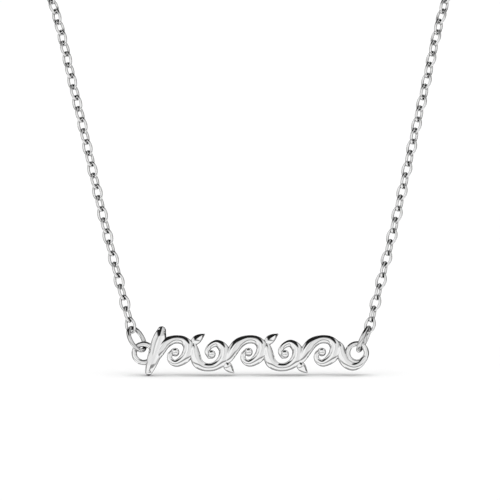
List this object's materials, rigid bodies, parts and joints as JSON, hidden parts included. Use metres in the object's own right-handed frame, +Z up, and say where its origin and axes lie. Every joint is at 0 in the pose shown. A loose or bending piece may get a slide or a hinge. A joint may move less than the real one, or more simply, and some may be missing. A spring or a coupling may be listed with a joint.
{
  "type": "nameplate necklace",
  "caption": "Fine cable-chain necklace, a whole loop with a cast openwork scroll nameplate at the front on two oval rings and a plain ring clasp at the nape.",
  "frame": {"origin": "the point at the middle of the nape on which the clasp lies", "axes": "+Z up as worn, -Y towards the front with the nameplate, +X towards the wearer's left"},
  "size_m": [0.1042, 0.1122, 0.1229],
  "materials": {
    "cast_silver": "polished silver casting",
    "wire_silver": "polished silver wire",
    "chain_silver": "polished silver chain"
  },
  "bodies": {
    "root": {"nameplate": "cast_silver", "jump_ring_left": "wire_silver", "jump_ring_right": "wire_silver", "chain_left": "chain_silver", "chain_right": "chain_silver", "clasp": "wire_silver", "catch_ring": "wire_silver"}
  },
  "joints": []
}
